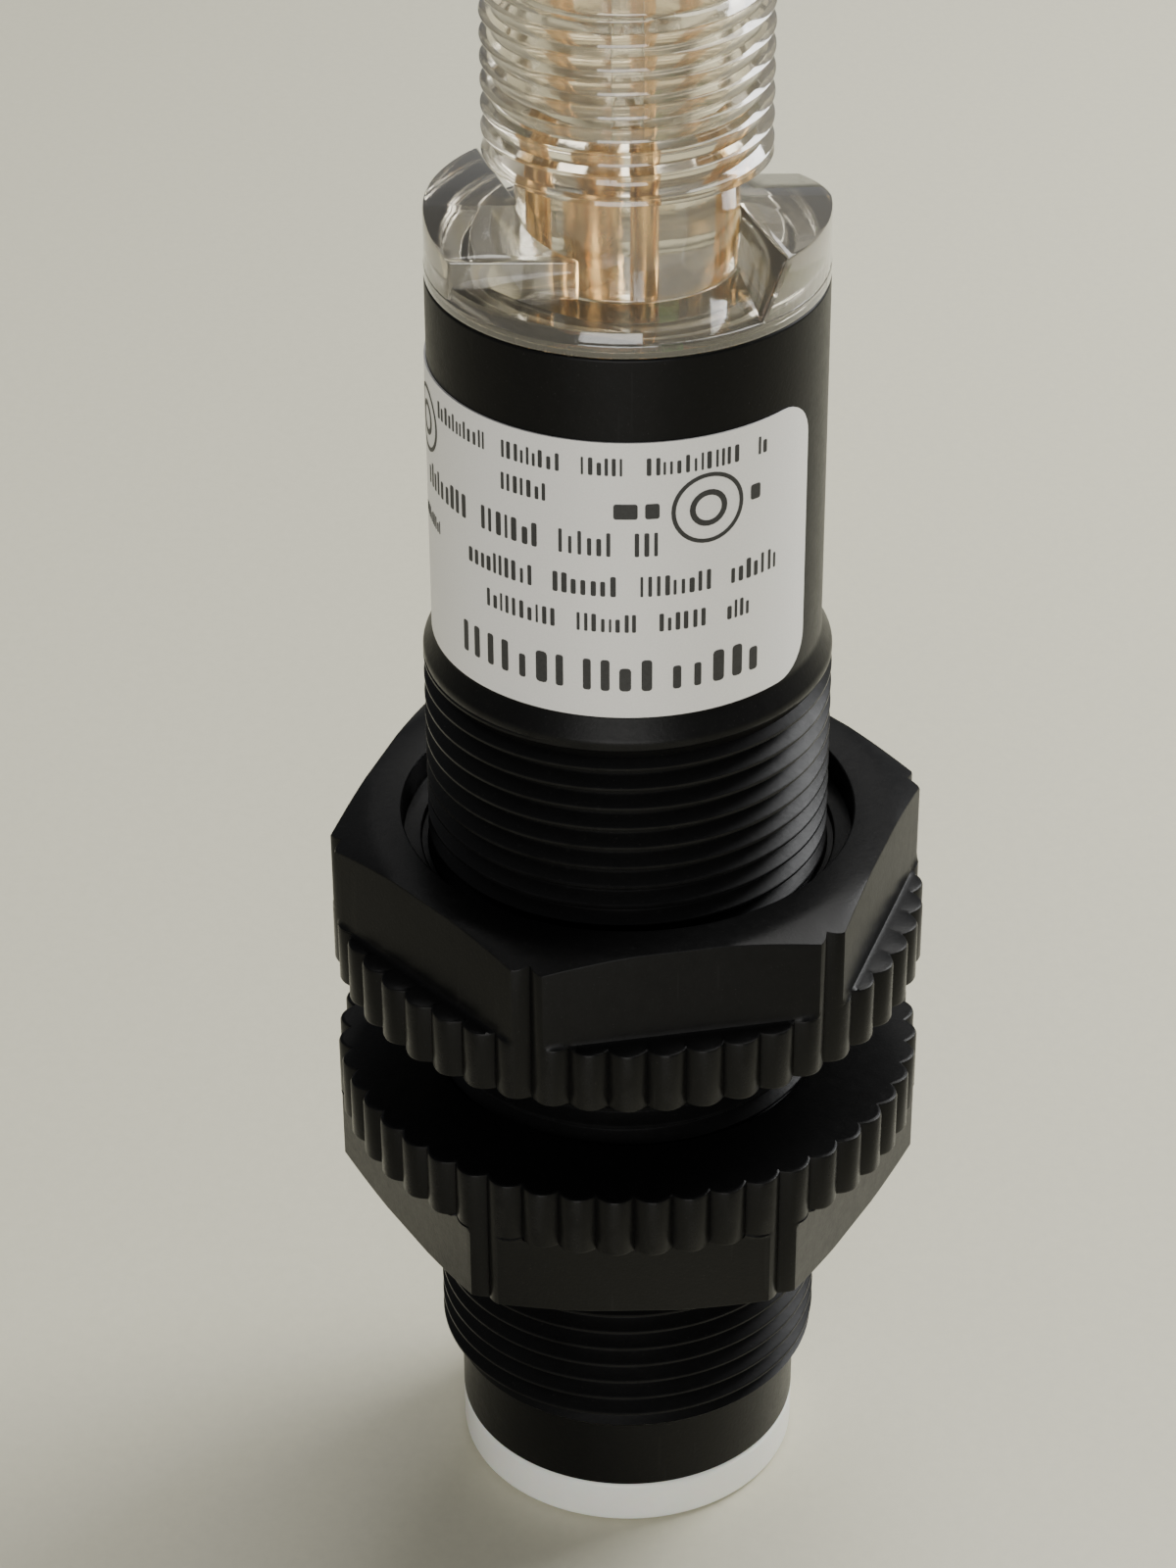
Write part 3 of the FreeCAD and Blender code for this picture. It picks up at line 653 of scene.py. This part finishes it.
def make_ledge(half_turn, finish):
    """Low crescent on the rim, narrowing to a tip."""
    outer = UPPER_R - 0.03 * MM
    bearings = [LEDGE_START_DEG + 2.0 * i for i in range(60)]
    bearings = [d for d in bearings if ledge_inner_r(d) < outer - 0.2 * MM]
    outlines = []
    for z, inset in ((RIM_HIGH - SUNK, 0.0), (RIM_HIGH + LEDGE_H, 0.12 * MM)):
        outlines.append([bearing(outer - inset, d, z) for d in bearings]
                        + [bearing(ledge_inner_r(d), d, z) for d in reversed(bearings)])
    bm = prism(*outlines)
    bmesh.ops.rotate(bm, verts=bm.verts, cent=(0, 0, 0), matrix=Matrix.Rotation(half_turn, 3, "Z"))
    return new_object(bm, "ledge", [finish])


def make_key(finish):
    """Rib in the socket that lets the cable connector in one way round."""
    bm = bmesh.new()
    bmesh.ops.create_cube(bm, size=1.0)
    height = cap_high.z - KEY_BELOW_TIP - SOCKET_LOW
    bmesh.ops.scale(bm, verts=bm.verts, vec=(KEY_W, KEY_DEPTH, height + 0.4 * MM))
    bmesh.ops.translate(bm, verts=bm.verts,
                        vec=(0, -SOCKET_R - 0.05 * MM, SOCKET_LOW + height / 2 - 0.2 * MM))
    bmesh.ops.bevel(bm, geom=bm.edges[:], offset=0.12 * MM, segments=2, profile=0.5,
                    affect="EDGES", material=-1, clamp_overlap=True)
    return new_object(bm, "key", [finish])


def make_end_cap(finish):
    """The round core with its key, two lugs and two ledges as one moulding."""
    core = cap_core(finish)
    extras = [make_key(finish)]
    for half_turn in (0.0, math.pi):
        extras += [make_lug(half_turn, finish), make_ledge(half_turn, finish)]
    return fit_piece(united(core, extras), BODY, "end_cap")


# ---- label -------------------------------------------------------------------------------
def rounded_box(bm, s0, s1, z0, z1, corner, steps=6):
    """Flat outline with round corners, laid out along the barrel's unrolled surface."""
    corner = min(corner, 0.49 * (s1 - s0), 0.49 * (z1 - z0))
    points = []
    for cx, cz, start in ((s1 - corner, z1 - corner, 0), (s0 + corner, z1 - corner, 90),
                          (s0 + corner, z0 + corner, 180), (s1 - corner, z0 + corner, 270)):
        for i in range(steps + 1):
            a = math.radians(start + 90 * i / steps)
            points.append((cx + corner * math.cos(a), 0, cz + corner * math.sin(a)))
    bm.faces.new([bm.verts.new(point) for point in points])


def flat_ring(bm, s, z, outer, inner, around=40):
    """Flat ring laid out along the barrel's unrolled surface."""
    made = bmesh.ops.create_circle(bm, segments=around, radius=outer)["verts"]
    edges = list({edge for vert in made for edge in vert.link_edges})
    grown = bmesh.ops.extrude_edge_only(bm, edges=edges)["geom"]
    inside = [item for item in grown if isinstance(item, bmesh.types.BMVert)]
    bmesh.ops.scale(bm, verts=inside, vec=(inner / outer, inner / outer, 1))
    whole = made + inside
    bmesh.ops.rotate(bm, verts=whole, cent=(0, 0, 0), matrix=Matrix.Rotation(math.pi / 2, 3, "X"))
    bmesh.ops.translate(bm, verts=whole, vec=(s, 0, z))


def wrapped(bm, radius, thick):
    """Cuts flat shapes into narrow strips, bends them round the barrel and gives them thickness."""
    reach = max(abs(v.co.x) for v in bm.verts)
    strips = int(reach / BEND_STEP)
    for i in range(-strips, strips + 1):
        bmesh.ops.bisect_plane(bm, geom=bm.verts[:] + bm.edges[:] + bm.faces[:],
                               plane_co=(i * BEND_STEP, 0, 0), plane_no=(1, 0, 0))
    front = bm.faces[:]
    grown = bmesh.ops.extrude_face_region(bm, geom=front)["geom"]
    outside = [item for item in grown if isinstance(item, bmesh.types.BMVert)]
    bmesh.ops.translate(bm, verts=outside, vec=(0, -thick, 0))
    for vert in bm.verts:
        a = vert.co.x / radius
        r = radius - vert.co.y
        vert.co = (r * math.sin(a), -r * math.cos(a), vert.co.z)


def make_label(finish):
    bm = bmesh.new()
    rounded_box(bm, LABEL_FROM, LABEL_TO, label_low.z, label_high.z, LABEL_CORNER, 8)
    wrapped(bm, LABEL_R, LABEL_THICK)
    return fit_piece(new_object(bm, "label_film", [finish], 60), BODY, "label")


def text_row(bm, dice, s0, s1, z, height, stroke=0.17, word_gap=0.8 * MM):
    """A row of separate upright ticks in groups, standing in for a line of print."""
    s = s0
    while s < s1 - 0.4 * MM:
        for _ in range(dice.randint(6, 13)):
            w = height * stroke * dice.uniform(0.7, 1.5)
            reach = height * dice.choice((1.0, 1.0, 0.74))
            if s + w > s1:
                break
            rounded_box(bm, s, s + w, z, z + reach, 0.3 * w, 2)
            s += w + height * stroke * dice.uniform(0.9, 1.5)
        s += word_gap


def make_print(finish):
    """Rows of generic marks and two ring marks where the real label has its print."""
    bm = bmesh.new()
    dice = random.Random(18)
    z0 = label_low.z
    for s0, s1 in ((-8.1, -2.3), (-1.9, 1.4), (1.9, 6.2)):
        text_row(bm, dice, s0 * MM, s1 * MM, z0 + 1.3 * MM, 1.5 * MM, 0.26, 0.3 * MM)
    rows = ((-6.5, 5.6, 4.15, 0.85), (-7.6, 7.0, 5.85, 0.95), (-11.5, 1.6, 7.75, 1.1),
            (-5.6, -3.4, 10.0, 0.8), (-10.0, 6.4, 11.5, 0.8), (-12.6, -9.2, 5.85, 0.6),
            (-16.6, -13.4, 4.2, 0.8), (-16.6, -13.0, 5.8, 0.8), (-16.6, -14.0, 7.4, 0.8))
    for s0, s1, z, height in rows:
        text_row(bm, dice, s0 * MM, s1 * MM, z0 + z * MM, height * MM)
    for s, z, outer in ((3.4, 9.7, 1.62), (-11.7, 10.7, 1.5)):
        flat_ring(bm, s * MM, z0 + z * MM, outer * MM, (outer - 0.19) * MM)
        flat_ring(bm, s * MM, z0 + z * MM, outer * 0.52 * MM, outer * 0.36 * MM, 24)
    for s0, s1 in ((-0.6, 0.4), (0.7, 1.3), (5.4, 5.9)):
        rounded_box(bm, s0 * MM, s1 * MM, z0 + 9.5 * MM, z0 + 10.2 * MM, 0.1 * MM, 2)
    wrapped(bm, LABEL_R + LABEL_THICK, INK_THICK)
    return fit_piece(new_object(bm, "label_print", [finish], 60), BODY, None)


# ---- nuts ---------------------------------------------------------------------------------
def tooth_edge(angle):
    """Radius of the toothed outline."""
    off_crest = 2 * ((angle / FULL_TURN * TEETH) % 1.0) - 1
    return TOOTH_R - TOOTH_DEPTH * off_crest ** 2


def hex_edge(angle):
    """Radius of the hexagon, with one flat facing -Y."""
    off_flat = (angle + math.pi / 2 + math.pi / 6) % (math.pi / 3) - math.pi / 6
    return FLAT_R / math.cos(off_flat)


def upper_edge(extra=0.0, most=1.0):
    """Outline above the flange: the hexagon, cut off at its corners by the teeth."""
    return lambda angle: min(hex_edge(angle) + extra, tooth_edge(angle), most)


def chamfer_height(angle):
    """Height where the outline meets the cone that takes off the nut's upper corners."""
    over = max(0.0, upper_edge()(angle) - NUT_TOP_R)
    return NUT_H - over * NUT_CHAMFER_H / (TOOTH_R - NUT_TOP_R)


def make_nut(name, finish, turn, place):
    """Nut with its toothed flange down at z = 0, then turned and put in place."""
    bm = bmesh.new()
    edge = 0.16 * MM
    fillet = 0.3 * MM
    rim = ring(bm, NUT_BORE_R, 0.0, NUT_AROUND)
    flange = [(TOOTH_R - TOOTH_DEPTH - 2.5 * edge, 0.0),
              (lambda a: tooth_edge(a) - 1.3 * edge, 0.0),
              (lambda a: tooth_edge(a) - edge, 0.0),
              (lambda a: tooth_edge(a) - edge * 0.3, edge * 0.3),
              (tooth_edge, edge),
              (tooth_edge, FLANGE_H - edge),
              (lambda a: max(tooth_edge(a) - edge * 0.3, upper_edge()(a)), FLANGE_H - edge * 0.3),
              (lambda a: max(tooth_edge(a) - edge, upper_edge(fillet)(a)), FLANGE_H),
              (upper_edge(fillet), FLANGE_H),
              (upper_edge(fillet * 0.3), FLANGE_H + fillet * 0.3),
              (upper_edge(), FLANGE_H + fillet)]
    soft = 0.08 * MM
    top = [(upper_edge(), lambda a: chamfer_height(a) - soft),
           (lambda a: upper_edge()(a) - 0.4 * soft, lambda a: chamfer_height(a) - 0.2 * soft),
           (upper_edge(-2.5 * soft, NUT_TOP_R - soft), NUT_H)]
    inside = softened([(FLAT_R - 0.5 * MM, NUT_H), (RECESS_R, NUT_H),
                       (RECESS_R, NUT_H - RECESS_H), (NUT_BORE_R, NUT_H - RECESS_H),
                       (NUT_BORE_R, 0.0)], 0.14 * MM)
    outer = carry_on(bm, rim, flange + top)
    carry_on(bm, outer, inside)
    bmesh.ops.rotate(bm, verts=bm.verts, cent=(0, 0, 0), matrix=turn)
    bmesh.ops.translate(bm, verts=bm.verts, vec=(0, 0, place))
    return fit_piece(new_object(bm, name + "_moulding", [finish], 30), name, name)


def make_nut_thread(name, finish, z0, z1):
    """Inner thread of a nut, in mesh with the barrel's at every turn."""
    bm = bmesh.new()
    groove_r, ridge_r = CREST_R + 0.06 * MM, ROOT_R + 0.07 * MM

    def limit(r, z):
        lead = min(z - z0, z1 - z)
        return max(r, groove_r - lead)

    low, high = helix(bm, BARREL_ROWS, groove_r, ridge_r, z0, z1, limit,
                      THREAD_LOW + PITCH / 2)
    shell_r = CREST_R + 0.7 * MM
    carry_on(bm, low, [(shell_r, z0)])
    carry_on(bm, high, [(shell_r, z1), (shell_r, z0)])
    return fit_piece(new_object(bm, name + "_inner_thread", [finish]), name, name + "_thread")


def make_nuts(finish):
    upright = Euler((0, 0, UPPER_NUT_TURN)).to_matrix()
    upside_down = Euler((math.pi, 0, LOWER_NUT_TURN)).to_matrix()
    make_nut("upper_nut", finish, upright, upper_nut_low.z)
    make_nut("lower_nut", finish, upside_down, lower_nut_high.z)
    inset = 0.3 * MM
    solid_h = NUT_H - RECESS_H
    make_nut_thread("upper_nut", finish, upper_nut_low.z + inset, upper_nut_low.z + solid_h - inset)
    make_nut_thread("lower_nut", finish, lower_nut_high.z - solid_h + inset, lower_nut_high.z - inset)


# ---- finishes of the CAD pieces that stay ------------------------------------------------
def finish_inner_pieces():
    """Gives each piece that keeps its first shape the material it is made of."""
    gold = metal("gold_plate", (0.95, 0.66, 0.30, 1), (0.72, 0.42, 0.16, 1), 0.25)
    tin = metal("tin_plate", (0.80, 0.80, 0.78, 1), (0.55, 0.55, 0.53, 1), 0.32)
    board = solder_mask()
    rubber = plain_moulding("seal_rubber", grey(0.012), grey(0.03), 0.6)
    black = plain_moulding("black_holder", grey(0.008), grey(0.018), 0.75, 5.0)
    resin = plain_moulding("chip_resin", grey(0.02), grey(0.045), 0.5, 6.0)
    ceramic = plain_moulding("capacitor_ceramic", (0.36, 0.25, 0.14, 1), (0.52, 0.38, 0.22, 1), 0.45)
    resistor = plain_moulding("resistor_film", grey(0.03), grey(0.10), 0.4, 6.0)
    wire = plain_moulding("lead_insulation", (0.30, 0.14, 0.05, 1), (0.42, 0.20, 0.08, 1), 0.4)
    film = polarising_film()
    finishes = {
        "lens_seal": rubber, "cap_seal": rubber, "emitter_polariser": film,
        "receiver_polariser": film, "optics_holder": black, "board_header": black,
        "emitter_led": tinted_resin("red_led_resin", (0.85, 0.06, 0.04, 1)),
        "receiver_photodiode": tinted_resin("photodiode_resin", (0.16, 0.06, 0.10, 1)),
        "optics_board": board, "main_board": board, "header_pins": tin,
        "receiver_shield_can": tin, "signal_ic": resin, "output_driver_ic": resin,
        "output_transistors": resin, "protection_diode": resin, "capacitors": ceramic,
        "resistors": resistor, "pin_leads": wire,
        "power_indicator_led": tinted_resin("green_led_resin", (0.30, 0.80, 0.35, 1)),
        "output_indicator_led": tinted_resin("yellow_led_resin", (0.90, 0.68, 0.15, 1)),
    }
    for number in range(1, 5):
        finishes["contact_pin_%d" % number] = gold
    for node, finish in finishes.items():
        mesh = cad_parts[node].data
        mesh.materials.clear()
        mesh.materials.append(finish)


# ---- stage, light and camera -----------------------------------------------------------
def make_floor():
    bm = bmesh.new()
    bmesh.ops.create_grid(bm, x_segments=8, y_segments=8, size=1.6)
    floor = new_object(bm, "floor", [pale_floor()])


def make_light(name, place, target, size, power, colour):
    lamp = bpy.data.lights.new(name, "AREA")
    lamp.shape = "RECTANGLE"
    lamp.size, lamp.size_y = size
    lamp.energy = power
    lamp.color = colour
    holder = bpy.data.objects.new(name, lamp)
    holder.location = place
    holder.rotation_euler = (Vector(target) - Vector(place)).to_track_quat("-Z", "Y").to_euler()
    bpy.context.scene.collection.objects.link(holder)


def make_lights():
    world = bpy.data.worlds.new("studio")
    world.use_nodes = True
    backdrop = world.node_tree.nodes["Background"]
    backdrop.inputs["Color"].default_value = (0.95, 0.97, 1.0, 1)
    backdrop.inputs["Strength"].default_value = 0.22
    bpy.context.scene.world = world
    middle = (0, 0, 0.04)
    make_light("overhead", (0.16, 0.30, 0.66), middle, (0.60, 0.45), 3.8, (1.0, 0.985, 0.95))
    make_light("window", (0.24, 0.16, 0.24), middle, (0.18, 0.18), 1.5, (0.98, 0.99, 1.0))
    make_light("fill", (-0.05, -0.60, 0.19), middle, (0.45, 0.30), 2.3, (1.0, 0.985, 0.96))


def make_camera():
    """Hand-held close-up, looking down at the label side."""
    pitch, yaw, roll = (math.radians(a) for a in (32.70, -0.566, -0.361))
    ahead = Vector((math.sin(yaw) * math.cos(pitch), math.cos(yaw) * math.cos(pitch),
                    -math.sin(pitch)))
    right = Vector((math.cos(yaw), -math.sin(yaw), 0))
    up = right.cross(ahead)
    tilted_right = right * math.cos(roll) + up * math.sin(roll)
    tilted_up = up * math.cos(roll) - right * math.sin(roll)
    turn = Matrix((tilted_right, tilted_up, -ahead)).transposed()
    lens = bpy.data.cameras.new("camera")
    lens.lens = 92.66
    lens.sensor_width = 36.0
    lens.clip_start = 0.005
    lens.clip_end = 20.0
    holder = bpy.data.objects.new("camera", lens)
    holder.matrix_world = Matrix.Translation((-0.27 * MM, -152.92 * MM, 135.36 * MM)) @ turn.to_4x4()
    bpy.context.scene.collection.objects.link(holder)
    bpy.context.scene.camera = holder


# ---- the whole scene -------------------------------------------------------------------
def build():
    nut_black = moulded_black("nut_black_plastic", 0.004, 0.13, 0.34, TOOTH_R - 0.03 * MM, 6.0)
    barrel_black = moulded_black("barrel_black_plastic", 0.0035, 0.13, 0.38, CREST_R - 0.03 * MM)
    make_barrel(barrel_black)
    make_front_lens(lens_rim_frost(), lens_face())
    make_end_cap(clear_plastic())
    make_label(silver_film())
    make_print(label_ink())
    make_nuts(nut_black)
    finish_inner_pieces()
    make_floor()
    make_lights()
    make_camera()


build()
